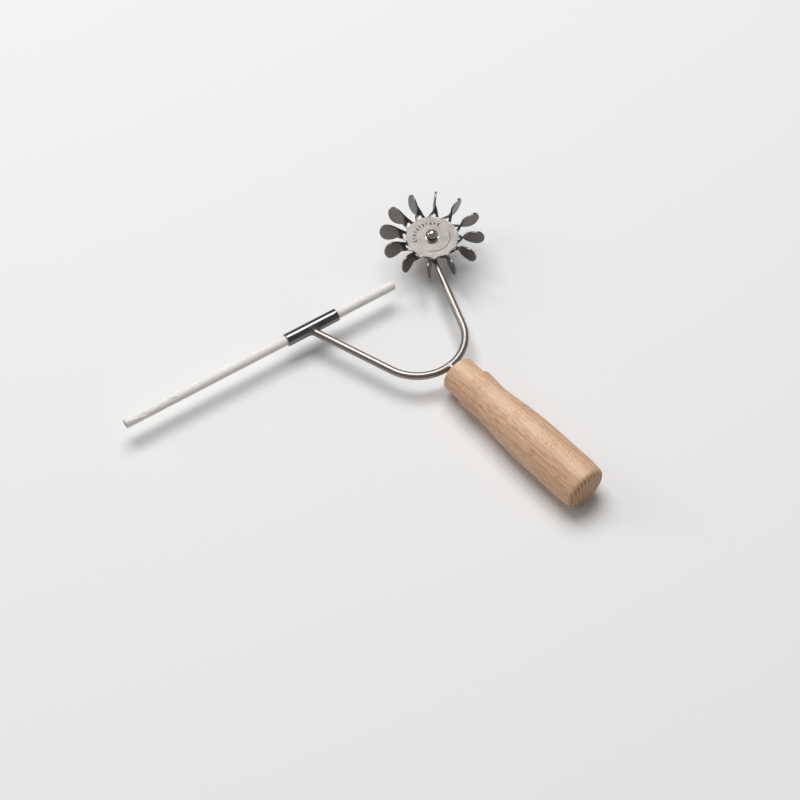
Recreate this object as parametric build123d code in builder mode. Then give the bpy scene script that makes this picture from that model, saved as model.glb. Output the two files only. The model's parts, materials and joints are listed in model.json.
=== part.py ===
"""Hand-held blow wheel: a beech grip, a bent steel fork, a sleeve that holds a drinking straw on
one arm, and a twelve-bladed sheet-steel wheel that spins on the other arm.

Frame: the origin is the centre of the grip's flat butt face. +Y runs along the grip towards the
fork, +X towards the wheel, and +Z is up from the surface that the tool lies on, so the fork lies
in the plane z = 0. All sizes are in millimetres.
"""
from build123d import *
from math import cos, radians, sin, tan
import os

os.makedirs("parts", exist_ok=True)

# ---- grip -------------------------------------------------------------------------------------
grip_length = 118.0
grip_neck_r = 11.9
grip_neck_length = 16.0
grip_shoulder_r = 13.5
grip_waist_r = 12.7
grip_belly_r = 15.6
grip_butt_round = 4.2
grip_neck_round = 2.6
tang_fit = 0.02

# ---- fork -------------------------------------------------------------------------------------
rod_r = 2.5
bend_r = 31.0
apex_gap = 3.5                      # from the grip's end to the rod
left_angle = 17.0                   # the arms' lean from +Y
right_angle = 23.0
tang_length = 62.0
tang_r = 2.5
weld_leg = 1.6

# ---- straw and its sleeve ---------------------------------------------------------------------
sleeve_centre = (-45.9, grip_length + 87.6)
sleeve_length = 38.0
sleeve_r = 4.3
sleeve_bore_r = 3.5
straw_angle = -8.8                  # the straw's direction, from +X
straw_length = 199.0
straw_ahead = 62.7                  # from the sleeve's centre to the end that faces the wheel
straw_r = 2.95
straw_bore_r = 2.6
wrapper_r = 3.1
wrapper_short = 1.0                 # how far the paper stops short of each straw end

# ---- wheel ------------------------------------------------------------------------------------
hub_x = 57.9
hub_y = grip_length + 86.2
wheel_z = 7.4                       # mid-plane of the disc
blade_rise = 3.0                    # the blades' middle lines lie above the disc, and clear the rod
sheet = 1.0
blade_count = 12
disc_r = 17.2
blade_tip_r = 34.8
blade_twist = -84.0                 # the clockwise edge of each blade stands up
twist_start_r = 16.8
twist_end_r = 23.4
first_blade_angle = 134.0           # anticlockwise from +X
relief_r = 1.4                      # round hole at each blade's root
relief_at_r = 18.2

# ---- hub --------------------------------------------------------------------------------------
pin_r = 1.5
bush_bore_r = 1.55
bush_barrel_r = 3.0
bush_flange_r = 4.8
bush_collar_r = 4.5
bush_collar = 0.4
bush_flange = 1.3
running_gap = 0.3
washer_r = 4.2
washer_thick = 0.5
ball_r = 4.1
ball_rise = 1.1                    # the ball's centre above its flat underside
pin_depth = 6.0
arm_end_bend_r = 4.5


def save(builder, label):
    """Name a finished piece and write it to its own STEP file."""
    builder.part.label = label
    export_step(builder.part, f"parts/{label}.step")


# ---- grip: one turned piece with a blind hole for the tang --------------------------------------
neck_start = grip_length - grip_neck_length
shoulder_round = 1.1

with BuildPart() as grip:
    with BuildSketch(Plane.XY) as grip_section:
        with BuildLine():
            Polyline((0, grip_length), (0, 0), (grip_belly_r - 1.0, 0), (grip_belly_r, 12))
            Spline(
                (grip_belly_r, 12),
                (grip_belly_r - 0.1, 40),
                (grip_belly_r - 0.7, 59),
                (grip_waist_r + 0.5, 78),
                (grip_waist_r, 87),
                (grip_shoulder_r - 0.2, 96),
                (grip_shoulder_r, neck_start),
                tangents=((0, 1), (0, 1)),
            )
            Polyline(
                (grip_shoulder_r, neck_start),
                (grip_neck_r, neck_start),
                (grip_neck_r, grip_length),
                (0, grip_length),
            )
        make_face()
        for x, y, round_r in (
            (grip_belly_r - 1.0, 0, grip_butt_round),
            (grip_neck_r, grip_length, grip_neck_round),
            (grip_shoulder_r, neck_start, shoulder_round),
        ):
            corner = grip_section.vertices().sort_by_distance((x, y, 0))[0]
            fillet(corner, round_r)
    revolve(axis=Axis.Y)
    tang_hole_plane = Plane(origin=(0, grip_length, 0), z_dir=(0, -1, 0))
    with BuildSketch(tang_hole_plane):
        Circle(tang_r + tang_fit)
    extrude(amount=tang_length, mode=Mode.SUBTRACT)
save(grip, "grip")

# ---- fork rod: one bent rod, with the weld fillets at its two joints ----------------------------
apex_y = grip_length + apex_gap + rod_r
bend_centre = Vector(0, apex_y + bend_r, 0)
left_a, right_a = radians(left_angle), radians(right_angle)
left_dir = Vector(-sin(left_a), cos(left_a), 0)
left_tangent = bend_centre + Vector(-cos(left_a), -sin(left_a), 0) * bend_r
right_dir = Vector(sin(right_a), cos(right_a), 0)
right_tangent = bend_centre + Vector(cos(right_a), -sin(right_a), 0) * bend_r

straw_dir = Vector(cos(radians(straw_angle)), sin(radians(straw_angle)), 0)
sleeve_mid = Vector(*sleeve_centre, 0)
side = Vector(-straw_dir.Y, straw_dir.X, 0)
left_reach = (sleeve_mid - left_tangent).dot(side) / left_dir.dot(side)
left_end = left_tangent + left_dir * left_reach
sleeve_plane = Plane(origin=sleeve_mid - straw_dir * (sleeve_length / 2), z_dir=straw_dir)

elbow = right_tangent + right_dir * 52.5
hub_foot = Vector(hub_x, hub_y, 0)
bush_under_z = wheel_z - sheet / 2 - bush_flange
washer_z = bush_under_z - running_gap - washer_thick
elbow_bend_r = 24.0

with BuildPart() as fork_rod:
    with BuildLine() as rod_path:
        Line(left_end, left_tangent)
        RadiusArc(left_tangent, right_tangent, -bend_r)
        FilletPolyline(
            right_tangent,
            elbow,
            hub_foot,
            Vector(hub_x, hub_y, washer_z),
            radius=[elbow_bend_r * tan(radians(6)), arm_end_bend_r],
        )
    with BuildSketch(Plane(origin=left_end, z_dir=-left_dir)):
        Circle(rod_r)
    sweep(path=rod_path.wires()[0])
    # weld fillet where the arm meets the sleeve
    arm_stub = Plane(origin=left_end, z_dir=-left_dir)
    with BuildSketch(arm_stub):
        Circle(rod_r + weld_leg + 0.8)
    with BuildSketch(arm_stub.offset(sleeve_r + weld_leg)):
        Circle(rod_r)
    loft()
    # weld fillet where the bend meets the tang
    with BuildSketch(Plane(origin=(0, apex_y, 0), z_dir=(0, -1, 0))):
        Circle(rod_r + weld_leg)
    with BuildSketch(Plane(origin=(0, grip_length + 0.6, 0), z_dir=(0, -1, 0))):
        Circle(tang_r)
    loft()
    # the rod is coped to the outside of the sleeve, and drilled for the pin
    with BuildSketch(sleeve_plane.offset(-20)):
        Circle(sleeve_r)
    extrude(amount=sleeve_length + 40, mode=Mode.SUBTRACT)
    with BuildSketch(Plane(origin=(hub_x, hub_y, washer_z), z_dir=(0, 0, -1))):
        Circle(pin_r)
    extrude(amount=pin_depth, mode=Mode.SUBTRACT)
    with BuildSketch(Plane(origin=(0, apex_y - rod_r + 1.0, 0), z_dir=(0, -1, 0))):
        Circle(tang_r)
    extrude(amount=20, mode=Mode.SUBTRACT)
save(fork_rod, "fork_rod")

# ---- tang: welded to the bend and glued into the grip -------------------------------------------
with BuildPart() as tang:
    with BuildSketch(Plane(origin=(0, apex_y - rod_r + 1.0, 0), z_dir=(0, -1, 0))):
        Circle(tang_r)
    extrude(amount=apex_gap + 1.0 + tang_length - 2.0)
    chamfer(tang.faces().sort_by(Axis.Y)[0].edges(), 0.8)
save(tang, "tang")

# ---- sleeve: a short tube, welded across the left arm -------------------------------------------
with BuildPart() as straw_sleeve:
    with BuildSketch(sleeve_plane):
        Circle(sleeve_r)
        Circle(sleeve_bore_r, mode=Mode.SUBTRACT)
    extrude(amount=sleeve_length)
    rims = straw_sleeve.edges().filter_by(GeomType.CIRCLE).group_by(SortBy.RADIUS)[-1]
    chamfer(rims, 0.25)
save(straw_sleeve, "straw_sleeve")

# ---- straw, and the paper wrapper that stays on it ----------------------------------------------
straw_start = sleeve_mid + straw_dir * (straw_ahead - straw_length)
straw_plane = Plane(origin=straw_start, z_dir=straw_dir)

with BuildPart() as straw:
    with BuildSketch(straw_plane):
        Circle(straw_r)
        Circle(straw_bore_r, mode=Mode.SUBTRACT)
    extrude(amount=straw_length)
save(straw, "straw")

with BuildPart() as straw_wrapper:
    with BuildSketch(straw_plane.offset(wrapper_short)):
        Circle(wrapper_r)
        Circle(straw_r, mode=Mode.SUBTRACT)
    extrude(amount=straw_length - 2 * wrapper_short)
save(straw_wrapper, "straw_wrapper")

# ---- blade wheel: one sheet, its blades twisted about their own middle lines --------------------
# half-width of a blade at each radius, measured in the flat sheet
blade_outline = [
    (disc_r - 0.4, 3.9),
    (18.4, 3.1),
    (20.2, 3.0),
    (22.2, 3.8),
    (24.6, 5.2),
    (27.2, 6.3),
    (29.6, 6.7),
    (31.8, 6.1),
    (33.4, 4.5),
    (34.3, 2.6),
    (blade_tip_r, 0.9),
]


def neck_share(radius):
    """How far a blade has turned at a radius: 0 at the disc, 1 from the end of the neck outwards."""
    share = min(max((radius - twist_start_r) / (twist_end_r - twist_start_r), 0.0), 1.0)
    return share * share * (3 - 2 * share)


with BuildPart() as one_blade:
    for radius, half_width in blade_outline:
        a = radians(blade_twist * neck_share(radius))
        lift = blade_rise * neck_share(radius)
        section = Plane(origin=(radius, 0, lift), x_dir=(0, cos(a), sin(a)), z_dir=(1, 0, 0))
        with BuildSketch(section):
            Rectangle(2 * half_width, sheet)
    loft()
    relief_a = radians(blade_twist * neck_share(relief_at_r))
    relief_normal = Vector(0, -sin(relief_a), cos(relief_a))
    relief_lift = blade_rise * neck_share(relief_at_r)
    relief_plane = Plane(origin=(relief_at_r, 0, relief_lift), z_dir=relief_normal)
    with BuildSketch(relief_plane):
        Circle(relief_r)
    extrude(amount=4, both=True, mode=Mode.SUBTRACT)

blade_step = 360 / blade_count
hub_axis_at_wheel = Plane(origin=(hub_x, hub_y, wheel_z))

with BuildPart() as blade_wheel:
    with BuildSketch(hub_axis_at_wheel.offset(-sheet / 2)):
        stub_r = blade_outline[0][0]
        stub_half = blade_outline[0][1]
        for k in range(blade_count):
            angle = first_blade_angle + k * blade_step
            with Locations(Location((0, 0, 0), (0, 0, 1), angle)):
                Polygon(
                    (0, -stub_half),
                    (stub_r, -stub_half),
                    (stub_r, stub_half),
                    (0, stub_half),
                    align=None,
                )
        Circle(stub_r - 0.2)
        Circle(bush_barrel_r, mode=Mode.SUBTRACT)
    extrude(amount=sheet)
    for k in range(blade_count):
        angle = first_blade_angle + k * blade_step
        add(hub_axis_at_wheel.location * Rot(0, 0, angle) * one_blade.part)
save(blade_wheel, "blade_wheel")

# ---- hub bush: flanged below the sheet and riveted over on top -----------------------------------
with BuildPart() as hub_bush:
    with BuildSketch(Plane(origin=(hub_x, hub_y, bush_under_z))):
        Circle(bush_flange_r)
    extrude(amount=bush_flange)
    with BuildSketch(Plane(origin=(hub_x, hub_y, wheel_z - sheet / 2))):
        Circle(bush_barrel_r)
    extrude(amount=sheet)
    with BuildSketch(Plane(origin=(hub_x, hub_y, wheel_z + sheet / 2))):
        Circle(bush_collar_r)
    extrude(amount=bush_collar)
    with BuildSketch(Plane(origin=(hub_x, hub_y, bush_under_z))):
        Circle(bush_bore_r)
    extrude(amount=10, mode=Mode.SUBTRACT)
save(hub_bush, "hub_bush")

# ---- thrust washer on the arm's end ---------------------------------------------------------------
with BuildPart() as thrust_washer:
    with BuildSketch(Plane(origin=(hub_x, hub_y, washer_z))):
        Circle(washer_r)
        Circle(pin_r, mode=Mode.SUBTRACT)
    extrude(amount=washer_thick)
save(thrust_washer, "thrust_washer")

# ---- hub pin: its shank is pressed into the arm, its ball head keeps the wheel on -----------------
collar_top = wheel_z + sheet / 2 + bush_collar
ball_under = collar_top + running_gap
ball_z = ball_under + ball_rise

with BuildPart() as hub_pin:
    with Locations((hub_x, hub_y, ball_z)):
        Sphere(ball_r)
    split(bisect_by=Plane(origin=(hub_x, hub_y, ball_under)), keep=Keep.TOP)
    with BuildSketch(Plane(origin=(hub_x, hub_y, washer_z - pin_depth))):
        Circle(pin_r)
    extrude(amount=pin_depth + ball_under - washer_z)
save(hub_pin, "hub_pin")
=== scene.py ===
"""Hand-held blow wheel: the looks of each piece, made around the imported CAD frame.

A turned beech grip holds a bent steel fork. One arm carries a sleeve with a paper-wrapped drinking
straw, and the other a wheel of twelve twisted blades that spins under a ball-headed pin. All sizes
are in metres, in the frame of the CAD: +Y along the grip, +X towards the wheel, +Z up.
"""

import json
from math import cos, pi, radians, sin, tan

import bmesh
import bpy
from bpy.props import FloatProperty, FloatVectorProperty, IntProperty, PointerProperty
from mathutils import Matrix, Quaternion, Vector, noise
from mathutils.geometry import delaunay_2d_cdt, intersect_line_line


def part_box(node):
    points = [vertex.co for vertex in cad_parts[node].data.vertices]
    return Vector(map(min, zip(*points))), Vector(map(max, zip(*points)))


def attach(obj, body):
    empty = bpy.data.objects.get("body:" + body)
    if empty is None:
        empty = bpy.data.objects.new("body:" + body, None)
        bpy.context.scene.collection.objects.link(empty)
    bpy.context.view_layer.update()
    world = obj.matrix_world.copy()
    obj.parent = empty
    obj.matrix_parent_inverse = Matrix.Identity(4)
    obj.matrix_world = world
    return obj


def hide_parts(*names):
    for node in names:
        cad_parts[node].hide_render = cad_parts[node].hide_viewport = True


bl_info = {
    "name": "Blow wheel",
    "version": (1, 0, 0),
    "blender": (4, 5, 0),
    "location": "3D View > Sidebar > Blow wheel",
    "description": "Makes the pieces of a hand-held blow wheel around its CAD frame",
    "category": "Object",
}

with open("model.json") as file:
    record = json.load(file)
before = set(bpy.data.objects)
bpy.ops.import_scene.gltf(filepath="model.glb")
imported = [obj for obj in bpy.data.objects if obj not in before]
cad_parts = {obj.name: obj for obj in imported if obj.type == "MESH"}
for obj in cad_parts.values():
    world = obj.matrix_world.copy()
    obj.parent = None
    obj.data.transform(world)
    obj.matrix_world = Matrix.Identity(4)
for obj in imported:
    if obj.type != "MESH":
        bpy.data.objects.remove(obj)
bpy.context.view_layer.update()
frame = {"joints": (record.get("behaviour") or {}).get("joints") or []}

MM = 0.001
UP = Vector((0, 0, 1))


# ---- places that come from the frame -----------------------------
def middle(node):
    """The centre of a CAD node's box."""
    low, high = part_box(node)
    return (low + high) / 2


def joint(name):
    """The joint of that name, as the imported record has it."""
    return next(j for j in frame["joints"] if j["name"] == name)


GRIP_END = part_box("grip")[1].y
SLEEVE_MIDDLE = middle("straw_sleeve")
STRAW_MIDDLE = middle("straw")
STRAW_WAY = Vector(joint("straw_slide")["axis"]).normalized()
WHEEL_MIDDLE = Vector(joint("wheel_spin")["pos_m"])
HUB_FOOT = Vector((WHEEL_MIDDLE.x, WHEEL_MIDDLE.y, 0))
WASHER_LOW, WASHER_HIGH = (corner.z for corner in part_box("thrust_washer"))
FLOOR_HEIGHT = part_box("grip")[0].z


# ---- settings ----------------------------------------------------
def size(name, description, millimetres):
    """A length that a user can change."""
    return FloatProperty(
        name=name, description=description, default=millimetres * MM, min=0, unit="LENGTH", precision=5
    )


def turn(name, description, degrees):
    """An angle that a user can change."""
    return FloatProperty(name=name, description=description, default=radians(degrees), subtype="ANGLE")


def share(name, description, default, high=1.0):
    """A plain number from 0 up."""
    return FloatProperty(name=name, description=description, default=default, min=0, max=high)


def paint(name, description, colour):
    """A colour in linear light."""
    return FloatVectorProperty(
        name=name, description=description, default=colour, size=3, min=0, max=1, subtype="COLOR"
    )


class GripSettings(bpy.types.PropertyGroup):
    """The turned beech grip."""

    neck_radius: size("Neck radius", "Radius of the short neck at the fork's end", 11.9)
    neck_length: size("Neck length", "Length of the neck up to the shoulder", 16)
    shoulder_radius: size("Shoulder radius", "Radius of the shoulder behind the neck", 13.5)
    waist_radius: size("Waist radius", "Radius where the first finger lies", 12.7)
    belly_radius: size("Belly radius", "Largest radius, near the butt", 15.6)
    butt_round: size("Butt rounding", "Rounding of the butt's edge", 4.2)
    pale_wood: paint("Pale wood", "Early wood of the beech", (0.72, 0.47, 0.31))
    dark_wood: paint("Dark wood", "Late wood and grain lines", (0.46, 0.235, 0.125))
    fleck: paint("Fleck", "The small ray flecks", (0.42, 0.165, 0.06))


class ForkSettings(bpy.types.PropertyGroup):
    """The bent rod and its welds."""

    rod_radius: size("Rod radius", "Radius of the steel rod", 2.5)
    bend_radius: size("Bend radius", "Radius of the round bend, at the rod's centre line", 31)
    gap: size("Gap", "From the grip's end to the rod", 3.5)
    left_lean: turn("Left lean", "How far the straw's arm leans out", 17)
    right_lean: turn("Right lean", "How far the wheel's arm leans out", 23)
    right_reach: size("Right reach", "From the bend to the elbow under the wheel", 52.5)
    end_bend: size("End bend", "Radius of the bend up to the wheel", 4.5)
    weld_leg: size("Weld leg", "Size of the weld at the sleeve", 1.6)
    steel: paint("Rod steel", "Colour of the satin steel", (0.34, 0.30, 0.275))


class StrawSettings(bpy.types.PropertyGroup):
    """The sleeve, the straw and its paper wrapper."""

    sleeve_radius: size("Sleeve radius", "Outer radius of the sleeve", 4.3)
    sleeve_bore: size("Sleeve bore", "Inner radius of the sleeve", 3.5)
    straw_radius: size("Straw radius", "Outer radius of the straw", 2.95)
    straw_bore: size("Straw bore", "Inner radius of the straw", 2.6)
    wrapper_radius: size("Wrapper radius", "Outer radius of the paper", 3.1)
    wrapper_short: size("Wrapper gap", "How far the paper stops short of the straw's ends", 1.0)
    crumple: share("Crumple", "How strongly the open end of the paper is creased", 1.0, 2.0)
    sleeve_steel: paint("Sleeve steel", "Colour of the polished sleeve", (0.20, 0.20, 0.195))
    paper: paint("Paper", "Colour of the wrapper", (0.86, 0.845, 0.805))
    plastic: paint("Straw", "Colour of the straw itself", (0.80, 0.765, 0.69))


class WheelSettings(bpy.types.PropertyGroup):
    """The blade wheel and its hub."""

    blades: IntProperty(name="Blades", description="Number of blades", default=12, min=3, max=24)
    sheet: size("Sheet", "Thickness of the wheel's sheet steel", 1.0)
    valley_radius: size("Valley radius", "Radius of the disc between two blades", 16.9)
    tip_radius: size("Tip radius", "Radius at the blades' tips", 34.8)
    twist: turn("Twist", "Turn of each blade about its own middle line", -84)
    rise: size("Rise", "How far the blades' middle lines lie above the disc", 3.0)
    first_blade: turn("First blade", "Direction of one blade, from +X", 134)
    relief_radius: size("Relief radius", "Radius of the round hole at each blade's root", 1.4)
    ball_radius: size("Ball radius", "Radius of the pin's ball head", 4.1)
    steel: paint("Sheet steel", "Colour of the wheel", (0.185, 0.169, 0.157))
    etch: paint("Etch", "Colour of the etched scale", (0.045, 0.042, 0.04))


class StageSettings(bpy.types.PropertyGroup):
    """Floor, lights and camera."""

    floor: paint("Floor", "Colour of the plain floor", (0.84, 0.84, 0.84))
    surround: share("Surround", "Brightness of the room", 0.20, 4.0)
    key: share("Key light", "Power of the large light above and behind the object", 116.0, 900.0)
    side: share("Side light", "Power of the light at the left", 15.0, 900.0)
    azimuth: turn("Azimuth", "Direction that the camera looks in, from +Y towards +X", 41.85)
    elevation: turn("Elevation", "Height of the camera above the fork's plane", 56.4)
    distance: size("Distance", "From the camera to the point that it looks at", 1150)
    focal_length: share("Focal length", "In millimetres, on a 36 mm sensor", 82.3, 300.0)


class BlowWheelSettings(bpy.types.PropertyGroup):
    """All settings of the blow wheel."""

    grip: PointerProperty(type=GripSettings)
    fork: PointerProperty(type=ForkSettings)
    straw: PointerProperty(type=StrawSettings)
    wheel: PointerProperty(type=WheelSettings)
    stage: PointerProperty(type=StageSettings)


# ---- shapes ------------------------------------------------------
def rounded(corners, steps=8, closed=False):
    """Points along straight lines whose corners are rounded. Each corner is (point, radius)."""
    run, last = [], len(corners) - 1
    for k, (corner, radius) in enumerate(corners):
        corner = Vector(corner).to_3d()
        if radius <= 0 or (not closed and k in (0, last)):
            run.append(corner)
            continue
        before = (Vector(corners[k - 1][0]).to_3d() - corner).normalized()
        after = (Vector(corners[(k + 1) % len(corners)][0]).to_3d() - corner).normalized()
        opening = before.angle(after)
        reach = radius / tan(opening / 2)
        centre = corner + (before + after).normalized() * (radius / sin(opening / 2))
        start = corner + before * reach - centre
        sweep = start.rotation_difference(corner + after * reach - centre)
        for s in range(steps + 1):
            run.append(centre + Quaternion().slerp(sweep, s / steps) @ start)
    return run


def spaced(points, spacing):
    """The same run with points added, so that no two are further apart than spacing."""
    run = [points[0]]
    for a, b in zip(points, points[1:]):
        count = max(1, round((b - a).length / spacing))
        run += [a.lerp(b, (k + 1) / count) for k in range(count)]
    return run


def smooth_value(table, at):
    """A smooth curve through (place, value) pairs, read at one place, with no overshoot."""
    places = [p for p, _ in table]
    if at <= places[0]:
        return table[0][1]
    if at >= places[-1]:
        return table[-1][1]
    slopes = [(b[1] - a[1]) / (b[0] - a[0]) for a, b in zip(table, table[1:])]
    leans = [slopes[0]]
    for a, b in zip(slopes, slopes[1:]):
        leans.append(2 * a * b / (a + b) if a * b > 0 else 0.0)
    leans.append(slopes[-1])
    k = next(i for i in range(len(slopes)) if at <= places[i + 1])
    width = places[k + 1] - places[k]
    t = (at - places[k]) / width
    low, high = table[k][1], table[k + 1][1]
    return (
        low * (2 * t**3 - 3 * t**2 + 1)
        + high * (3 * t**2 - 2 * t**3)
        + width * (leans[k] * (t**3 - 2 * t**2 + t) + leans[k + 1] * (t**3 - t**2))
    )


def turned_rings(profile, origin, axis, segments=96):
    """Rings of a turned piece. The profile's points are (radius, height along the axis)."""
    side = axis.orthogonal().normalized()
    other = axis.cross(side)
    rings = []
    for point in profile:
        ring = []
        for k in range(segments):
            a = 2 * pi * k / segments
            ring.append(origin + axis * point[1] + (side * cos(a) + other * sin(a)) * point[0])
        rings.append(ring)
    return rings


def swept_rings(path, radii, segments=48):
    """Rings of a round bar along a path, one radius for each point."""
    normal, way, rings = UP.copy(), Vector((0, 1, 0)), []
    for k, (point, radius) in enumerate(zip(path, radii)):
        step = path[min(k + 1, len(path) - 1)] - path[max(k - 1, 0)]
        if step.length > 1e-7:
            way = step.normalized()
        normal = (normal - way * normal.dot(way)).normalized()
        across = way.cross(normal)
        ring = []
        for s in range(segments):
            a = 2 * pi * s / segments
            ring.append(point + (normal * cos(a) + across * sin(a)) * radius)
        rings.append(ring)
    return rings


def skin(rings, closed_run=False):
    """Vertices and faces over a run of rings with the same number of points."""
    count = len(rings[0])
    vertices = [point for ring in rings for point in ring]
    faces = []
    for r in range(len(rings) if closed_run else len(rings) - 1):
        here, there = r * count, (r + 1) % len(rings) * count
        for k in range(count):
            n = (k + 1) % count
            faces.append((here + k, here + n, there + n, there + k))
    return vertices, faces


def make_piece(name, shape, material, body, nodes=(), sharp=None, weld_within=1e-7):
    """A smooth mesh that rides on a CAD body and stands for CAD nodes."""
    vertices, faces = shape
    mesh = bpy.data.meshes.new(name)
    mesh.from_pydata([tuple(v) for v in vertices], [], faces)
    work = bmesh.new()
    work.from_mesh(mesh)
    bmesh.ops.remove_doubles(work, verts=work.verts, dist=weld_within)
    bmesh.ops.recalc_face_normals(work, faces=work.faces)
    for face in work.faces:
        face.smooth = True
    work.to_mesh(mesh)
    work.free()
    if sharp is not None:
        mesh.set_sharp_from_angle(angle=sharp)
    mesh.materials.append(material)
    piece = bpy.data.objects.new(name, mesh)
    bpy.context.scene.collection.objects.link(piece)
    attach(piece, body)
    if nodes:
        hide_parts(*nodes)
    return piece


def weld_ring(host, joining, leg, segments=96, rows=8):
    """Rings of a hollow weld fillet where a round bar meets the side of another.

    host is (point on its axis, direction, radius); joining is the same, its direction away from
    the host."""
    host_point, host_way, host_radius = host
    bar_point, bar_way, bar_radius = joining
    along = (host_way - bar_way * host_way.dot(bar_way)).normalized()
    across = bar_way.cross(along)
    slope = bar_way - host_way * bar_way.dot(host_way)
    rings = []
    for row in range(-1, rows + 2):
        phi = pi / 2 * min(max(row / rows, 0), 1)
        ring = []
        for k in range(segments):
            a = 2 * pi * k / segments
            ripple = 1 + 0.10 * noise.noise(Vector((cos(a) * 3, sin(a) * 3, 5.3)))
            ripple += 0.035 * sin(22 * a)
            radius = bar_radius + leg * ripple * (1 - cos(phi))
            rise = leg * ripple * (1 - sin(phi))
            if row < 0:
                radius, rise = bar_radius * 0.9, leg * ripple
            elif row > rows:
                rise = -0.2 * MM
            limit = 0.985 * host_radius
            offset = along * (radius * cos(a)) + across * max(-limit, min(limit, radius * sin(a)))
            from_axis = bar_point + offset - host_point
            from_axis -= host_way * from_axis.dot(host_way)
            b = 2 * from_axis.dot(slope)
            c = from_axis.length_squared - host_radius**2
            root = max(0.0, b * b - 4 * slope.length_squared * c) ** 0.5
            meets = (root - b) / (2 * slope.length_squared)
            ring.append(bar_point + offset + bar_way * (meets + rise))
        rings.append(ring)
    return rings


# ---- finishes ----------------------------------------------------
class Finish:
    """A material in the making: short calls that add nodes to its tree."""

    def __init__(self, name, **values):
        self.material = bpy.data.materials.new(name)
        self.material.use_nodes = True
        self.tree = self.material.node_tree
        self.shader = self.tree.nodes["Principled BSDF"]
        for key, value in values.items():
            self.shader.inputs[key.replace("_", " ")].default_value = value
        self.place = self.node("ShaderNodeTexCoord").outputs["Object"]

    def node(self, kind, inputs=(), **settings):
        """A node, with its settings, and its inputs linked or set by name or number."""
        made = self.tree.nodes.new(kind)
        for key, value in settings.items():
            setattr(made, key, value)
        for key, value in dict(inputs).items():
            if isinstance(value, bpy.types.NodeSocket):
                self.tree.links.new(value, made.inputs[key])
            else:
                made.inputs[key].default_value = value
        return made

    def stretched(self, scale, shift=(0, 0, 0)):
        """The object's own coordinates, shifted and scaled along each axis."""
        inputs = {"Vector": self.place, "Scale": scale, "Location": shift}
        return self.node("ShaderNodeMapping", inputs).outputs["Vector"]

    def cloud(self, vector, scale, detail=4.0, roughness=0.55, distortion=0.0):
        """Noise between 0 and 1."""
        inputs = {"Vector": vector, "Scale": scale, "Detail": detail, "Roughness": roughness}
        inputs["Distortion"] = distortion
        return self.node("ShaderNodeTexNoise", inputs).outputs["Fac"]

    def reckon(self, operation, a, b=0.0, clamp=False):
        """One sum of two numbers or sockets."""
        made = self.node("ShaderNodeMath", {0: a, 1: b}, operation=operation, use_clamp=clamp)
        return made.outputs[0]

    def between(self, value, low, high, to_low=0.0, to_high=1.0):
        """A smooth step of value from low to high."""
        inputs = {"Value": value, "From Min": low, "From Max": high, "To Min": to_low, "To Max": to_high}
        made = self.node("ShaderNodeMapRange", inputs, interpolation_type="SMOOTHSTEP")
        return made.outputs["Result"]

    def blended(self, factor, a, b, how="MIX"):
        """Two colours, mixed by a factor."""
        made = self.node("ShaderNodeMix", data_type="RGBA", blend_type=how)
        for socket, value in ((made.inputs[0], factor), (made.inputs[6], a), (made.inputs[7], b)):
            if isinstance(value, bpy.types.NodeSocket):
                self.tree.links.new(value, socket)
            elif isinstance(value, float):
                socket.default_value = value
            else:
                socket.default_value = (*value, 1)
        return made.outputs[2]

    def give(self, **sockets):
        """Links sockets to the shader's inputs."""
        for key, value in sockets.items():
            self.tree.links.new(value, self.shader.inputs[key.replace("_", " ")])

    def relief(self, height, strength, distance):
        """Bump from a height between 0 and 1, on top of any bump that is there already."""
        inputs = {"Height": height, "Strength": strength, "Distance": distance}
        old = self.shader.inputs["Normal"].links
        if old:
            inputs["Normal"] = old[0].from_socket
        self.give(Normal=self.node("ShaderNodeBump", inputs).outputs["Normal"])


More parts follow.
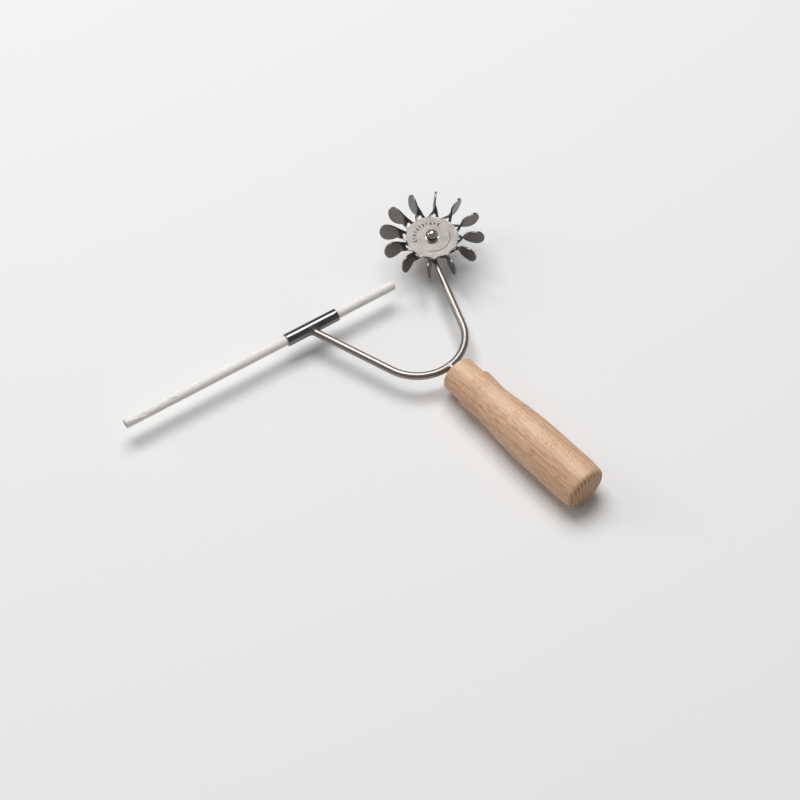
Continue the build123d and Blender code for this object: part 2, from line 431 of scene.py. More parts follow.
def beech(grip):
    """Waxed beech: growth rings as planes across X, fine grain, and ray flecks."""
    wood = Finish("beech_wood", Roughness=0.5, IOR=1.45)
    axes = wood.node("ShaderNodeSeparateXYZ", {0: wood.place}).outputs
    ring_place = wood.stretched((1, 0.05, 0.55), (0.07, 0, 0.004))
    rings = wood.node(
        "ShaderNodeTexWave",
        {"Vector": ring_place, "Scale": 118, "Distortion": 2.6, "Detail": 3, "Detail Scale": 1.4},
        wave_type="RINGS",
        rings_direction="Y",
        wave_profile="SIN",
    ).outputs["Fac"]
    streaks = wood.cloud(wood.stretched((1, 0.022, 1)), 1250, 5, 0.62)
    broad = wood.cloud(wood.stretched((1, 0.12, 1)), 120, 3, 0.5)
    pores = wood.cloud(wood.stretched((1, 0.045, 1), (0.3, 0.1, 0)), 2500, 2, 0.5)
    dashes = wood.cloud(wood.stretched((1, 0.12, 1), (0.1, 0.4, 0.2)), 1250, 1.5, 0.4)
    tone = wood.reckon("MULTIPLY", wood.between(rings, 0.45, 1.0), 0.24)
    tone = wood.reckon("ADD", tone, wood.between(streaks, 0.42, 0.66, 0, 0.72), clamp=True)
    colour = wood.blended(tone, tuple(grip.pale_wood), tuple(grip.dark_wood))
    colour = wood.blended(wood.between(broad, 0.3, 0.7, 0, 0.25), colour, (0.78, 0.51, 0.33))
    colour = wood.blended(wood.between(pores, 0.57, 0.68, 0, 0.55), colour, (0.36, 0.165, 0.08))
    colour = wood.blended(wood.between(dashes, 0.60, 0.68, 0, 0.55), colour, tuple(grip.fleck))
    # the rays lie broadside along the top and the bottom: pale silk with arcs of orange flecks
    near_top = wood.between(wood.reckon("ABSOLUTE", axes["X"]), 0.0072, 0.0020)
    patches = wood.cloud(wood.stretched((1, 0.30, 1), (0.02, 0.11, 0)), 75, 1, 0.5)
    silk = wood.reckon("MULTIPLY", near_top, wood.between(patches, 0.36, 0.52))
    colour = wood.blended(wood.reckon("MULTIPLY", silk, 0.50), colour, (0.83, 0.60, 0.42))
    eyes = wood.node(
        "ShaderNodeTexVoronoi",
        {"Vector": wood.stretched((1, 0.62, 0.2), (0.0, 0.004, 0.0)), "Scale": 88, "Randomness": 0.9},
        feature="F1",
    ).outputs["Distance"]
    arcs = wood.reckon("SINE", wood.reckon("MULTIPLY", eyes, 58.0))
    dots = wood.cloud(wood.stretched((1, 0.7, 1)), 1050, 1, 0.5)
    spots = wood.reckon("MULTIPLY", wood.between(arcs, 0.0, 0.7), wood.between(dots, 0.47, 0.56))
    spots = wood.reckon("MULTIPLY", spots, wood.between(eyes, 0.52, 0.40))
    spots = wood.reckon("MULTIPLY", spots, silk)
    colour = wood.blended(wood.reckon("MULTIPLY", spots, 0.85), colour, (0.56, 0.21, 0.065))
    # end grain at the butt and on the neck's face
    butt = wood.between(axes["Y"], 0.0034, 0.0004)
    face = wood.between(axes["Y"], GRIP_END - 0.0015, GRIP_END - 0.0001)
    end_grain = wood.reckon("ADD", butt, face, clamp=True)
    stripes = wood.between(rings, 0.2, 0.9, 0.1, 0.9)
    ends = wood.blended(stripes, (0.62, 0.37, 0.215), (0.37, 0.195, 0.10))
    vessels = wood.between(wood.cloud(wood.place, 2600, 3), 0.4, 0.7, 0, 0.35)
    ends = wood.blended(vessels, ends, (0.2, 0.11, 0.06))
    colour = wood.blended(end_grain, colour, ends)
    wood.give(Base_Color=colour, Roughness=wood.between(streaks, 0.3, 0.7, 0.44, 0.60))
    wood.relief(streaks, 0.22, 0.00012)
    wood.relief(pores, 0.15, 0.00008)
    return wood.material


def satin_rod(fork):
    """Drawn steel rod: satin, with a fine grain and faint stains."""
    steel = Finish("satin_rod_steel", Metallic=1.0, Roughness=0.36)
    grain = steel.cloud(steel.place, 5200, 3, 0.6)
    stain = steel.cloud(steel.place, 90, 3, 0.55)
    worn = tuple(c * 0.72 for c in fork.steel)
    colour = steel.blended(steel.between(stain, 0.3, 0.75, 0, 0.45), tuple(fork.steel), worn)
    # heat tint where the arm was welded to the sleeve
    far = steel.node("ShaderNodeVectorMath", {0: steel.place, 1: SLEEVE_MIDDLE}, operation="DISTANCE")
    heat = steel.between(far.outputs["Value"], 0.013, 0.0045, 0, 0.55)
    heat = steel.reckon("MULTIPLY", heat, steel.between(stain, 0.25, 0.7, 0.5, 1))
    colour = steel.blended(heat, colour, (0.20, 0.165, 0.14))
    steel.give(Base_Color=colour, Roughness=steel.between(grain, 0.25, 0.75, 0.31, 0.42))
    steel.relief(grain, 0.10, 0.00003)
    return steel.material


def weld_steel(fork):
    """The weld metal: duller and darker than the rod."""
    steel = Finish("weld_steel", Metallic=1.0, Roughness=0.36)
    grain = steel.cloud(steel.place, 2400, 4, 0.6)
    dark = tuple(c * 0.45 for c in fork.steel)
    bright = tuple(c * 0.85 for c in fork.steel)
    steel.give(
        Base_Color=steel.blended(steel.between(grain, 0.3, 0.7), dark, bright),
        Roughness=steel.between(grain, 0.3, 0.7, 0.28, 0.46),
    )
    steel.relief(grain, 0.35, 0.00010)
    return steel.material


def bright_tube(straw):
    """Polished tube with faint drawing lines along it."""
    steel = Finish("bright_tube_steel", Metallic=1.0, Roughness=0.12)
    lines = steel.cloud(steel.stretched((1, 9, 9)), 380, 2, 0.5)
    smears = steel.cloud(steel.place, 140, 3, 0.6)
    dark = tuple(c * 0.86 for c in straw.sleeve_steel)
    steel.give(
        Base_Color=steel.blended(steel.between(lines, 0.35, 0.7), tuple(straw.sleeve_steel), dark),
        Roughness=steel.between(smears, 0.3, 0.7, 0.09, 0.17),
    )
    steel.relief(lines, 0.04, 0.00003)
    return steel.material


def wheel_sheet(wheel):
    """Sheet steel, tumbled: a soft satin with fine scratches both ways and darker specks."""
    steel = Finish("wheel_sheet_steel", Metallic=1.0, Roughness=0.34)
    grain = steel.cloud(steel.place, 3600, 4, 0.65)
    hair = steel.cloud(steel.stretched((1, 14, 1)), 260, 3, 0.6)
    hair_two = steel.cloud(steel.stretched((13, 1, 1), (0.2, 0.1, 0)), 240, 3, 0.6)
    stain = steel.cloud(steel.place, 150, 4, 0.6)
    dark = tuple(c * 0.66 for c in wheel.steel)
    one_way, other_way = steel.between(hair, 0.55, 0.75), steel.between(hair_two, 0.57, 0.77)
    scratches = steel.reckon("MAXIMUM", one_way, other_way)
    colour = steel.blended(steel.between(stain, 0.3, 0.75, 0, 0.6), tuple(wheel.steel), dark)
    colour = steel.blended(steel.reckon("MULTIPLY", scratches, 0.35), colour, (0.30, 0.275, 0.255))
    steel.give(Base_Color=colour, Roughness=steel.between(grain, 0.3, 0.7, 0.27, 0.42))
    steel.relief(grain, 0.10, 0.00004)
    steel.relief(scratches, 0.08, 0.00002)
    return steel.material


def etched(wheel):
    """The darkened metal of the etched scale."""
    steel = Finish("etched_steel", Metallic=0.6, Roughness=0.6)
    grain = steel.cloud(steel.place, 5200, 3, 0.6)
    lighter = tuple(c * 2.6 for c in wheel.etch)
    steel.give(
        Base_Color=steel.blended(steel.between(grain, 0.35, 0.7), tuple(wheel.etch), lighter),
        Roughness=steel.between(grain, 0.3, 0.7, 0.5, 0.75),
    )
    return steel.material


def polished_pin():
    """The pin, its washer and the hub: hard polished steel with faint smears."""
    steel = Finish("polished_pin_steel", Metallic=1.0, Roughness=0.08)
    smears = steel.cloud(steel.place, 420, 3, 0.6)
    fine = steel.cloud(steel.place, 4200, 2, 0.5)
    colour = steel.blended(steel.between(smears, 0.3, 0.7), (0.66, 0.63, 0.60), (0.52, 0.49, 0.46))
    steel.give(Base_Color=colour, Roughness=steel.between(smears, 0.3, 0.7, 0.06, 0.13))
    steel.relief(fine, 0.03, 0.00002)
    return steel.material


def wrapper_paper(straw):
    """Thin white paper: fibres, a little light through it, and a faint darker mottle."""
    paper = Finish("wrapper_paper", Roughness=0.82, Subsurface_Weight=0.12, Subsurface_Scale=0.0012)
    fibres = paper.cloud(paper.place, 1900, 5, 0.7, 0.6)
    mottle = paper.cloud(paper.place, 260, 3, 0.6)
    worn = tuple(c * f for c, f in zip(straw.paper, (0.93, 0.915, 0.885)))
    colour = paper.blended(paper.between(mottle, 0.35, 0.7), tuple(straw.paper), worn)
    colour = paper.blended(paper.between(fibres, 0.6, 0.8, 0, 0.25), colour, (0.70, 0.67, 0.61))
    paper.give(Base_Color=colour, Roughness=paper.between(fibres, 0.3, 0.7, 0.74, 0.9))
    paper.relief(fibres, 0.30, 0.00006)
    paper.relief(mottle, 0.25, 0.00025)
    return paper.material


def straw_stock(straw):
    """The straw's own wall, a warm matt white."""
    stock = Finish("straw_stock", Roughness=0.55, Subsurface_Weight=0.1, Subsurface_Scale=0.001)
    grain = stock.cloud(stock.place, 1500, 3, 0.6)
    worn = tuple(c * 0.88 for c in straw.plastic)
    stock.give(
        Base_Color=stock.blended(stock.between(grain, 0.35, 0.7), tuple(straw.plastic), worn),
        Roughness=stock.between(grain, 0.3, 0.7, 0.45, 0.62),
    )
    stock.relief(grain, 0.12, 0.00004)
    return stock.material


def studio_floor(stage):
    """A plain pale floor with the faintest mottle."""
    floor = Finish("studio_floor", Roughness=0.9)
    floor.shader.inputs["Specular IOR Level"].default_value = 0.1
    mottle = floor.cloud(floor.place, 3, 3, 0.5)
    shade = tuple(c * 0.995 for c in stage.floor)
    floor.give(Base_Color=floor.blended(mottle, tuple(stage.floor), shade))
    return floor.material


# ---- pieces ------------------------------------------------------
# half-width of a blade at each radius, in the flat sheet
BLADE_HALF_WIDTHS = [
    (radius * MM, half_width * MM)
    for radius, half_width in (
        (16.8, 4.45), (17.3, 3.72), (18.0, 3.26), (19.0, 3.00), (20.2, 3.02), (22.2, 3.80),
        (24.6, 5.20), (27.2, 6.30), (29.6, 6.70), (31.8, 6.10), (33.4, 4.50), (34.3, 2.60),
        (34.65, 1.35), (34.8, 0.0),
    )
]
TWIST_FROM, TWIST_TO = 16.8 * MM, 23.4 * MM
RELIEF_AT = 18.2 * MM  # radius of the ring of round holes at the blades' roots
RELIEF_POINTS = 28
BARREL_RADIUS = 3.0 * MM  # of the bush, where it goes through the sheet
TANG_HOLE_DEPTH = 62 * MM
BELLY_AT = 12 * MM  # where the butt's side runs into the belly


def make_grip(grip):
    """The turned grip, with its tang hole."""
    shoulder = GRIP_END - grip.neck_length
    side = [
        (BELLY_AT, grip.belly_radius),
        (40 * MM, grip.belly_radius - 0.1 * MM),
        (59 * MM, grip.belly_radius - 0.7 * MM),
        (78 * MM, grip.waist_radius + 0.5 * MM),
        (87 * MM, grip.waist_radius),
        (96 * MM, grip.shoulder_radius - 0.2 * MM),
        (shoulder, grip.shoulder_radius),
    ]
    profile = rounded(
        [
            ((0, 0), 0),
            ((5 * MM, 0), 0),
            ((grip.belly_radius - 1.0 * MM, 0), grip.butt_round),
            ((grip.belly_radius, BELLY_AT), 0),
        ],
        steps=14,
    )
    steps = 110
    run = shoulder - 1.6 * MM - BELLY_AT
    for k in range(1, steps + 1):
        y = BELLY_AT + run * k / steps
        profile.append(Vector((smooth_value(side, y), y, 0)))
    hole = tang_radius() + 0.02 * MM
    profile += rounded(
        [
            (profile[-1], 0),
            ((grip.shoulder_radius, shoulder), 1.1 * MM),
            ((grip.neck_radius, shoulder), 0.35 * MM),
            ((grip.neck_radius, GRIP_END), 2.6 * MM),
            ((hole, GRIP_END), 0.3 * MM),
            ((hole, GRIP_END - TANG_HOLE_DEPTH), 0.2 * MM),
            ((0, GRIP_END - TANG_HOLE_DEPTH), 0),
        ],
        steps=10,
    )[1:]
    rings = turned_rings(profile, Vector(), Vector((0, 1, 0)), 128)
    for ring in rings:  # the faint unevenness of a sanded surface
        for point in ring:
            reach = Vector((point.x, 0, point.z))
            if reach.length > 8 * MM:
                wobble = noise.noise(Vector((point.x * 60, point.y * 25, point.z * 60)))
                point += reach.normalized() * (0.05 * MM * wobble)
    make_piece("turned_grip", skin(rings), beech(grip), "frame", ["grip"])


def tang_radius():
    """Radius of the tang, from its box."""
    low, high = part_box("tang")
    return (high.x - low.x) / 2


def fork_lines(fork):
    """The left arm's end and direction, the bend's outer corner, the elbow, and the bend's centre."""
    bend_centre = Vector((0, GRIP_END + fork.gap + fork.rod_radius + fork.bend_radius, 0))
    left_way = Vector((-sin(fork.left_lean), cos(fork.left_lean), 0))
    right_way = Vector((sin(fork.right_lean), cos(fork.right_lean), 0))
    left_start = bend_centre + Vector((-left_way.y, left_way.x, 0)) * fork.bend_radius
    right_start = bend_centre + Vector((right_way.y, -right_way.x, 0)) * fork.bend_radius
    side = Vector((-STRAW_WAY.y, STRAW_WAY.x, 0))
    reach = (SLEEVE_MIDDLE - left_start).dot(side) / left_way.dot(side)
    left_end = left_start + left_way * reach
    corner = intersect_line_line(left_end, left_start, right_start, right_start + right_way)[0]
    elbow = right_start + right_way * fork.right_reach
    return left_end, left_way, corner, elbow, bend_centre


def make_fork(fork):
    """The bent rod, the tang and the two welds."""
    left_end, left_way, corner, elbow, bend_centre = fork_lines(fork)
    top = Vector((HUB_FOOT.x, HUB_FOOT.y, WASHER_LOW))
    rod_start = left_end - left_way * 3.9 * MM
    path = rounded([(rod_start, 0), (corner, fork.bend_radius), (elbow, 0)], steps=110)[:-1]
    path += rounded([(path[-1], 0), (elbow, 9 * MM), (HUB_FOOT, fork.end_bend), (top, 0)], steps=24)[1:]
    path = spaced(path[:-1] + [top - UP * 0.35 * MM], 1.5 * MM) + [top, top]
    radii = [fork.rod_radius] * (len(path) - 2) + [fork.rod_radius - 0.35 * MM, 0]
    rings = swept_rings([path[0]] + path, [0] + radii, 56)
    steel = satin_rod(fork)
    make_piece("bent_rod", skin(rings), steel, "frame", ["fork_rod"], radians(50))
    weld = weld_steel(fork)
    sleeve = (SLEEVE_MIDDLE, STRAW_WAY, bpy.context.scene.blow_wheel.straw.sleeve_radius)
    rings = weld_ring(sleeve, (left_end, -left_way, fork.rod_radius), fork.weld_leg)
    make_piece("sleeve_weld", skin(rings), weld, "frame")
    apex = bend_centre - Vector((0, fork.bend_radius, 0))
    grip_way = Vector((0, -1, 0))
    host = (apex, Vector((1, 0, 0)), fork.rod_radius)
    rings = weld_ring(host, (apex, grip_way, tang_radius()), 1.0 * MM)
    make_piece("tang_weld", skin(rings), weld, "frame")
    low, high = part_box("tang")
    radius = tang_radius()
    profile = rounded(
        [((0, low.y), 0), ((radius, low.y), 0.8 * MM), ((radius, high.y), 0.2 * MM), ((0, high.y), 0)], 6
    )
    rings = turned_rings(profile, Vector(), Vector((0, 1, 0)), 48)
    make_piece("grip_tang", skin(rings), steel, "frame", ["tang"], radians(50))


def tube_rings(length, outer, inner, centre, way, edge, segments=96):
    """Closed rings of a tube's wall with rounded rims, from one end to the other and back inside."""
    half = length / 2
    profile = rounded(
        [((outer, -half), edge), ((outer, half), edge), ((inner, half), edge), ((inner, -half), edge)],
        steps=5,
        closed=True,
    )
    profile = spaced(profile + [profile[0]], 4 * MM)[:-1]
    return turned_rings(profile, centre, way, segments)


def make_sleeve(straw):
    """The short polished tube that holds the straw."""
    reach = abs(STRAW_WAY.y) * straw.sleeve_radius
    low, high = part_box("straw_sleeve")
    length = (high.x - low.x - 2 * reach) / STRAW_WAY.x
    rings = tube_rings(
        length, straw.sleeve_radius, straw.sleeve_bore, SLEEVE_MIDDLE, STRAW_WAY, 0.28 * MM, 128
    )
    steel = bright_tube(straw)
    make_piece("sleeve_tube", skin(rings, True), steel, "frame", ["straw_sleeve"])


def straw_length(straw):
    """The straw's length, from its box."""
    low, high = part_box("straw")
    return (high.x - low.x - 2 * abs(STRAW_WAY.y) * straw.straw_radius) / STRAW_WAY.x


# creases of the paper: (from the open end, turn round the straw), the same for its other end,
# its height and its half-width, in millimetres and in parts of a turn
CREASES = [
    ((0.0, 0.30), (13.0, 0.42), 0.42, 1.0),
    ((0.0, 0.62), (9.0, 0.40), -0.40, 0.9),
    ((6.0, 0.05), (16.0, 0.20), -0.35, 1.0),
    ((9.0, 0.80), (22.0, 0.68), 0.25, 0.9),
    ((17.0, 0.38), (24.0, 0.30), 0.30, 0.8),
    ((20.0, 0.55), (31.0, 0.62), -0.28, 1.0),
    ((30.0, 0.22), (37.0, 0.33), 0.34, 0.8),
    ((33.0, 0.48), (41.0, 0.40), -0.25, 0.9),
    ((38.0, 0.75), (50.0, 0.70), 0.18, 0.9),
    ((46.0, 0.30), (55.0, 0.27), -0.14, 0.9),
]


def crease_height(along, turns, girth):
    """How far the creases push the paper out at one place, in millimetres."""
    pushed = 0.0
    for (a0, t0), (a1, t1), height, width in CREASES:
        run = Vector((a1 - a0, (t1 - t0) * girth))
        for lap in (-1, 0, 1):
            here = Vector((along - a0, (turns + lap - t0) * girth))
            t = min(max(here.dot(run) / run.length_squared, 0), 1)
            off = (here - run * t).length / width
            if off < 1:
                pushed += height * (1 - off) ** 1.5 * (0.35 + 0.65 * sin(pi * (0.1 + 0.8 * t)))
    return pushed


def make_straw(straw):
    """The straw and the paper wrapper, creased and torn where it was opened."""
    length = straw_length(straw)
    stock = straw_stock(straw)
    rings = tube_rings(length, straw.straw_radius, straw.straw_bore, STRAW_MIDDLE, STRAW_WAY, 0.12 * MM)
    make_piece("drinking_straw", skin(rings, True), stock, "straw_body", ["straw"])

    around, spacing = 128, 0.45 * MM
    girth = 2 * pi * straw.wrapper_radius / MM
    run = length - 2 * straw.wrapper_short
    start = STRAW_MIDDLE - STRAW_WAY * (length / 2 - straw.wrapper_short)
    side = UP.cross(STRAW_WAY).normalized()
    rows = round(run / spacing)
    rings = []
    for row in range(rows + 1):
        ring = []
        for k in range(around):
            turns = k / around
            a = 2 * pi * turns
            along = run * row / rows
            if row == 0:  # the torn edge
                along -= 0.5 * MM * noise.noise(Vector((cos(a) * 2.1, sin(a) * 2.1, 1.7)))
                along -= 0.3 * MM * noise.noise(Vector((cos(a) * 9, sin(a) * 9, 4.1)))
            from_end = along / MM
            fade = max(0.0, 1 - from_end / 62)
            outward = straw.crumple * crease_height(from_end, turns, girth)
            outward += 0.10 * fade * noise.noise(Vector((from_end * 0.33, cos(a) * 1.5, sin(a) * 1.5)))
            outward += 0.012 * noise.noise(Vector((from_end * 0.12, cos(a) * 1.2, sin(a) * 1.2)))
            outward += 0.05 * max(0.0, 1 - abs((turns - 0.86) * girth) / 0.5)  # the glued seam
            radius = straw.wrapper_radius + max(outward, -0.10) * MM
            ring.append(start + STRAW_WAY * along + (side * cos(a) + UP * sin(a)) * radius)
        rings.append(ring)
    inner = []
    for ring in (rings[0], rings[-1]):
        along = (ring[0] - start).dot(STRAW_WAY)
        centre = start + STRAW_WAY * along
        inner.append([centre + (p - centre) * 0.955 for p in ring])
    rings = [inner[0], *rings, inner[1]]
    paper = wrapper_paper(straw)
    make_piece("paper_wrapper", skin(rings), paper, "straw_body", ["straw_wrapper"])


def sector_outline(wheel):
    """The flat outline of one blade and its share of the disc, about +X."""
    half = pi / wheel.blades
    edge = BLADE_HALF_WIDTHS[0][0]
    tip = wheel.tip_radius
    outline = []
    for k in range(10):  # out along the sector's lower side
        radius = BARREL_RADIUS + (wheel.valley_radius - BARREL_RADIUS) * k / 9
        outline.append(Vector((radius * cos(half), -radius * sin(half))))
    side = []
    places = [edge + (tip - edge) * sin(pi / 2 * k / 70) for k in range(1, 71)]
    for x in places:
        side.append(Vector((x, smooth_value(BLADE_HALF_WIDTHS, x))))
    outline += [Vector((p.x, -p.y)) for p in side[:-1]] + [side[-1]] + side[-2::-1]
    for k in range(9, -1, -1):
        radius = BARREL_RADIUS + (wheel.valley_radius - BARREL_RADIUS) * k / 9
        outline.append(Vector((radius * cos(half), radius * sin(half))))
    inner = [
        Vector((BARREL_RADIUS * cos(a), BARREL_RADIUS * sin(a))) for a in (half / 2, 0.0, -half / 2)
    ]
    return outline + inner


def blade_surface(wheel):
    """Vertices and triangles of the wheel's middle surface, all sectors, already twisted."""
    half = pi / wheel.blades
    edge = BLADE_HALF_WIDTHS[0][0]
    outline = sector_outline(wheel)
    hole = [
        Vector((RELIEF_AT + wheel.relief_radius * cos(a), wheel.relief_radius * sin(a)))
        for a in (2 * pi * k / RELIEF_POINTS for k in range(RELIEF_POINTS))
    ]
    ring_round = [
        Vector((RELIEF_AT + 1.28 * wheel.relief_radius * cos(a), 1.28 * wheel.relief_radius * sin(a)))
        for a in (2 * pi * (k + 0.5) / RELIEF_POINTS for k in range(RELIEF_POINTS))
    ]
    points = outline + hole
    count = len(outline)
    edges = [(k, (k + 1) % count) for k in range(count)]
    edges += [(count + k, count + (k + 1) % RELIEF_POINTS) for k in range(RELIEF_POINTS)]
    inside = []
    for row in range(1, 15):  # the disc
        radius = BARREL_RADIUS + (edge - BARREL_RADIUS) * row / 15
        across = max(3, round(2 * half * radius / (1.0 * MM)))
        for k in range(1, across):
            a = half * (2 * k / across - 1)
            inside.append(Vector((radius * cos(a), radius * sin(a))))
    x = edge + 0.1 * MM
    while x < wheel.tip_radius - 0.4 * MM:  # the blade
        width = smooth_value(BLADE_HALF_WIDTHS, x)
        across = max(4, round(2 * width / (0.62 * MM)))
        for k in range(1, across):
            inside.append(Vector((x, width * (2 * k / across - 1))))
        x += 0.5 * MM
    centre = Vector((RELIEF_AT, 0))
    inside = [p for p in inside if (p - centre).length > 1.42 * wheel.relief_radius]
    points += ring_round + inside
    found = delaunay_2d_cdt(points, edges, [], 0, 1e-7)
    flat, triangles = found[0], found[2]

    def within(p):
        """Whether a place lies on the sheet."""
        if (p - centre).length < wheel.relief_radius * 0.995:
            return False
        if p.x <= edge:
            return abs(p.y) < p.x * tan(half) and p.length > BARREL_RADIUS * 0.97
        return abs(p.y) < smooth_value(BLADE_HALF_WIDTHS, p.x)

    kept = []
    for triangle in triangles:
        a, b, c = (flat[i] for i in triangle)
        area = abs((b - a).cross(c - a)) / 2
        if area > 1e-12 and within((a + b + c) / 3):
            kept.append(tuple(triangle))
    used = sorted({i for t in kept for i in t})
    index = {i: n for n, i in enumerate(used)}
    kept = [tuple(index[i] for i in t) for t in kept]
    bent = []
    for i in used:
        p = flat[i]
        part = min(max((p.x - TWIST_FROM) / (TWIST_TO - TWIST_FROM), 0), 1)
        part *= part * (3 - 2 * part)
        a = wheel.twist * part
        bent.append(Vector((p.x, p.y * cos(a), p.y * sin(a) + wheel.rise * part)))
    vertices, faces = [], []
    for k in range(wheel.blades):
        spin = Quaternion(UP, wheel.first_blade + 2 * pi * k / wheel.blades)
        faces += [tuple(i + len(vertices) for i in t) for t in kept]
        vertices += [WHEEL_MIDDLE + spin @ p for p in bent]
    return vertices, faces


def make_blades(wheel):
    """The wheel of twisted blades, from one sheet with softened edges."""
    piece = make_piece(
        "blade_wheel_sheet",
        blade_surface(wheel),
        wheel_sheet(wheel),
        "wheel",
        ["blade_wheel"],
        weld_within=2e-6,
    )
    thick = piece.modifiers.new("thickness", "SOLIDIFY")
    thick.thickness, thick.offset = wheel.sheet, 0
    soft = piece.modifiers.new("soft_edges", "BEVEL")
    soft.width, soft.segments, soft.use_clamp_overlap = 0.2 * MM, 3, True
    soft.limit_method, soft.angle_limit = "ANGLE", radians(50)
    piece.modifiers.new("even_shading", "WEIGHTED_NORMAL").keep_sharp = True


def flat_patch(inner, outer, start, end, low, high, steps):
    """A thin raised strip between two radii and two angles about the hub."""
    vertices, faces = [], []
    for k in range(steps + 1):
        a = start + (end - start) * k / steps
        way = Vector((cos(a), sin(a), 0))
        for radius, z in ((inner, low), (outer, low), (outer, high), (inner, high)):
            vertices.append(HUB_FOOT + way * radius + UP * z)
    for k in range(steps):
        for s in range(4):
            n = (s + 1) % 4
            faces.append((4 * k + s, 4 * k + n, 4 * k + 4 + n, 4 * k + 4 + s))
    last = 4 * steps
    faces += [(3, 2, 1, 0), (last, last + 1, last + 2, last + 3)]
    return vertices, faces


def make_etching(wheel):
    """A plain scale of ticks and a thin line, where the maker's lettering would be."""
    top = WHEEL_MIDDLE.z + wheel.sheet / 2
    low, high = top - 0.05 * MM, top + 0.03 * MM
    right = -bpy.context.scene.blow_wheel.stage.azimuth
    vertices, faces = [], []

    def add(patch):
        faces.extend(tuple(i + len(vertices) for i in f) for f in patch[1])
        vertices.extend(patch[0])

    ticks = 11
    for k in range(ticks):
        at = right + radians(199 - 131 * k / (ticks - 1))
        width = radians(3.4 if k % 2 else 5.4)
        inner = (10.8 if k % 2 else 10.2) * MM
        add(flat_patch(inner, 12.6 * MM, at - width / 2, at + width / 2, low, high, 3))
    add(flat_patch(11.7 * MM, 11.95 * MM, right + radians(-104), right + radians(26), low, high, 60))
    for k in range(27):
        at = right + radians(-102 + 126 * k / 26)
        add(flat_patch(12.1 * MM, 12.7 * MM, at - radians(0.9), at + radians(0.9), low, high, 1))
    make_piece("etched_scale", (vertices, faces), etched(wheel), "wheel", (), radians(30))


def make_hub(wheel):
    """The hub bush, the washer under it, and the ball-headed pin."""
    steel = polished_pin()
    low, high = (corner.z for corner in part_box("hub_bush"))
    bore, flange, collar = 1.55 * MM, 4.8 * MM, 4.5 * MM
    under, over = WHEEL_MIDDLE.z - wheel.sheet / 2, WHEEL_MIDDLE.z + wheel.sheet / 2
    profile = rounded(
        [
            ((bore, low), 0.15 * MM),
            ((flange, low), 0.3 * MM),
            ((flange, under), 0.1 * MM),
            ((BARREL_RADIUS, under), 0),
            ((BARREL_RADIUS, over), 0),
            ((collar, over), 0),
            ((collar, high), 0.25 * MM),
            ((bore, high), 0.15 * MM),
        ],
        6,
        closed=True,
    )
    rings = turned_rings(profile, HUB_FOOT, UP, 96)
    bush = skin(rings, True)
    make_piece("hub_bush_turned", bush, steel, "wheel", ["hub_bush"], radians(40))
    low, high = WASHER_LOW, WASHER_HIGH
    outer = (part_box("thrust_washer")[1].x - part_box("thrust_washer")[0].x) / 2
    inner, edge = 1.5 * MM, 0.12 * MM
    corners = [((inner, low), edge), ((outer, low), edge), ((outer, high), edge), ((inner, high), edge)]
    rings = turned_rings(rounded(corners, 4, True), HUB_FOOT, UP, 96)
    washer = skin(rings, True)
    make_piece("washer_turned", washer, steel, "frame", ["thrust_washer"], radians(40))
    bottom, top = (corner.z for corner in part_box("hub_pin"))
    centre = top - wheel.ball_radius
    shank = 1.5 * MM
    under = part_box("hub_bush")[1].z + 0.3 * MM
    profile = [Vector((0, bottom, 0)), Vector((shank - 0.3 * MM, bottom, 0))]
    profile += [Vector((shank, bottom + 0.3 * MM, 0)), Vector((shank, under, 0))]
    lowest = -pi / 2 + 0.02
    for k in range(61):
        a = lowest + (pi / 2 - lowest) * k / 60
        point = Vector((wheel.ball_radius * cos(a), centre + wheel.ball_radius * sin(a), 0))
        if point.y >= under - 1e-9:
            profile.append(point)
    rings = turned_rings(profile, HUB_FOOT, UP, 128)
    make_piece("ball_headed_pin", skin(rings), steel, "frame", ["hub_pin"], radians(50))


# ---- stage -------------------------------------------------------
AIM = Vector((-0.0409, 0.1256, 0))


def add_light(name, way, distance, width, height, power, colour=(1, 1, 1)):
    """A soft rectangular light, placed in a direction seen from the object and turned to it."""
    data = bpy.data.lights.new(name, "AREA")
    data.shape, data.size, data.size_y = "RECTANGLE", width, height
    data.energy, data.color = power, colour
    light = bpy.data.objects.new(name, data)
    light.location = AIM + way.normalized() * distance
    light.rotation_mode = "QUATERNION"
    light.rotation_quaternion = way.to_track_quat("Z", "Y")
    bpy.context.scene.collection.objects.link(light)


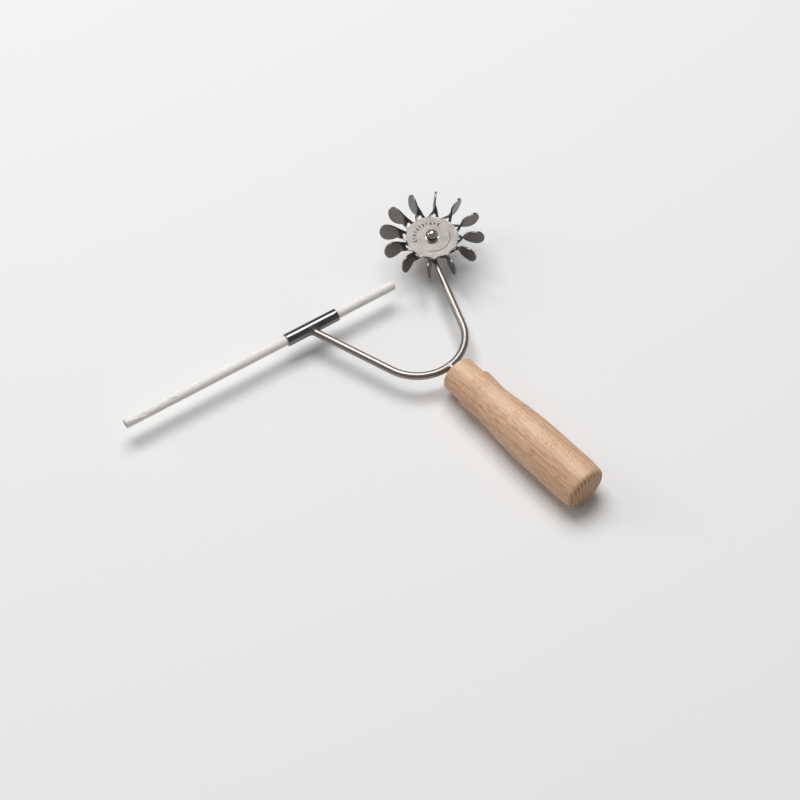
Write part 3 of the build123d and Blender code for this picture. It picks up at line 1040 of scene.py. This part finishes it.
def make_stage(stage):
    """Floor, lights and camera."""
    scene = bpy.context.scene
    scene.view_settings.view_transform = "Standard"
    half, rows = 4.0, 8
    steps = [half * (2 * k / rows - 1) for k in range(rows + 1)]
    height = FLOOR_HEIGHT - 0.2 * MM
    lines = [[Vector((AIM.x + x, AIM.y + y, height)) for x in steps] for y in steps]
    vertices = [point for line in lines for point in line]
    corners = [j * len(steps) + i for j in range(rows) for i in range(rows)]
    faces = [(c, c + 1, c + len(steps) + 1, c + len(steps)) for c in corners]
    mesh = bpy.data.meshes.new("floor")
    mesh.from_pydata(vertices, [], faces)
    mesh.materials.append(studio_floor(stage))
    floor = bpy.data.objects.new("floor", mesh)
    scene.collection.objects.link(floor)

    world = bpy.data.worlds.new("room")
    scene.world = world
    world.use_nodes = True
    world.node_tree.nodes["Background"].inputs["Color"].default_value = (1, 1, 1, 1)
    world.node_tree.nodes["Background"].inputs["Strength"].default_value = stage.surround

    ahead = Vector((sin(stage.azimuth), cos(stage.azimuth), 0))
    right = Vector((ahead.y, -ahead.x, 0))
    above = ahead * 0.42 + UP * 1.0 - right * 0.14
    beside = -right * 1.0 + UP * 0.62 + ahead * 0.25
    add_light("key_above", above, 3.6, 2.7, 2.1, stage.key)
    add_light("side_left", beside, 3.4, 0.9, 1.7, stage.side, (1, 0.97, 0.94))

    back = -ahead * cos(stage.elevation) + UP * sin(stage.elevation)
    data = bpy.data.cameras.new("camera")
    data.sensor_width, data.lens = 36, stage.focal_length
    data.clip_start, data.clip_end = 0.01, 50
    camera = bpy.data.objects.new("camera", data)
    camera.location = AIM + back * stage.distance
    camera.rotation_mode = "QUATERNION"
    camera.rotation_quaternion = back.to_track_quat("Z", "Y")
    scene.collection.objects.link(camera)
    scene.camera = camera


# ---- operators and panel -----------------------------------------
class BLOWWHEEL_OT_grip(bpy.types.Operator):
    """Make the turned beech grip"""

    bl_idname = "blow_wheel.grip"
    bl_label = "Grip"

    def execute(self, context):
        make_grip(context.scene.blow_wheel.grip)
        return {"FINISHED"}


class BLOWWHEEL_OT_fork(bpy.types.Operator):
    """Make the bent rod, its tang and its welds"""

    bl_idname = "blow_wheel.fork"
    bl_label = "Fork"

    def execute(self, context):
        make_fork(context.scene.blow_wheel.fork)
        return {"FINISHED"}


class BLOWWHEEL_OT_sleeve(bpy.types.Operator):
    """Make the polished sleeve"""

    bl_idname = "blow_wheel.sleeve"
    bl_label = "Sleeve"

    def execute(self, context):
        make_sleeve(context.scene.blow_wheel.straw)
        return {"FINISHED"}


class BLOWWHEEL_OT_straw(bpy.types.Operator):
    """Make the straw and its paper wrapper"""

    bl_idname = "blow_wheel.straw"
    bl_label = "Straw and wrapper"

    def execute(self, context):
        make_straw(context.scene.blow_wheel.straw)
        return {"FINISHED"}


class BLOWWHEEL_OT_wheel(bpy.types.Operator):
    """Make the blade wheel and the plain etched scale on it"""

    bl_idname = "blow_wheel.wheel"
    bl_label = "Blade wheel"

    def execute(self, context):
        make_blades(context.scene.blow_wheel.wheel)
        make_etching(context.scene.blow_wheel.wheel)
        return {"FINISHED"}


class BLOWWHEEL_OT_hub(bpy.types.Operator):
    """Make the hub bush, the washer and the ball-headed pin"""

    bl_idname = "blow_wheel.hub"
    bl_label = "Hub"

    def execute(self, context):
        make_hub(context.scene.blow_wheel.wheel)
        return {"FINISHED"}


class BLOWWHEEL_OT_stage(bpy.types.Operator):
    """Make the floor, the lights and the camera"""

    bl_idname = "blow_wheel.stage"
    bl_label = "Stage"

    def execute(self, context):
        make_stage(context.scene.blow_wheel.stage)
        return {"FINISHED"}


OPERATORS = (
    BLOWWHEEL_OT_grip,
    BLOWWHEEL_OT_fork,
    BLOWWHEEL_OT_sleeve,
    BLOWWHEEL_OT_straw,
    BLOWWHEEL_OT_wheel,
    BLOWWHEEL_OT_hub,
    BLOWWHEEL_OT_stage,
)


class BLOWWHEEL_PT_pieces(bpy.types.Panel):
    """Lists the pieces of the blow wheel and their settings"""

    bl_idname = "BLOWWHEEL_PT_pieces"
    bl_label = "Blow wheel"
    bl_space_type = "VIEW_3D"
    bl_region_type = "UI"
    bl_category = "Blow wheel"

    def draw(self, context):
        for operator in OPERATORS:
            self.layout.operator(operator.bl_idname)
        settings = context.scene.blow_wheel
        for group in (settings.grip, settings.fork, settings.straw, settings.wheel, settings.stage):
            box = self.layout.box()
            for key in group.__annotations__:
                box.prop(group, key)


CLASSES = (
    GripSettings,
    ForkSettings,
    StrawSettings,
    WheelSettings,
    StageSettings,
    BlowWheelSettings,
    *OPERATORS,
    BLOWWHEEL_PT_pieces,
)


def register():
    """Adds the classes and the settings to Blender."""
    for cls in CLASSES:
        bpy.utils.register_class(cls)
    bpy.types.Scene.blow_wheel = PointerProperty(type=BlowWheelSettings)


def unregister():
    """Takes the classes and the settings out again."""
    del bpy.types.Scene.blow_wheel
    for cls in reversed(CLASSES):
        bpy.utils.unregister_class(cls)


def main():
    """Makes every piece and the stage."""
    register()
    bpy.ops.blow_wheel.grip()
    bpy.ops.blow_wheel.fork()
    bpy.ops.blow_wheel.sleeve()
    bpy.ops.blow_wheel.straw()
    bpy.ops.blow_wheel.wheel()
    bpy.ops.blow_wheel.hub()
    bpy.ops.blow_wheel.stage()


if __name__ == "__main__":
    main()
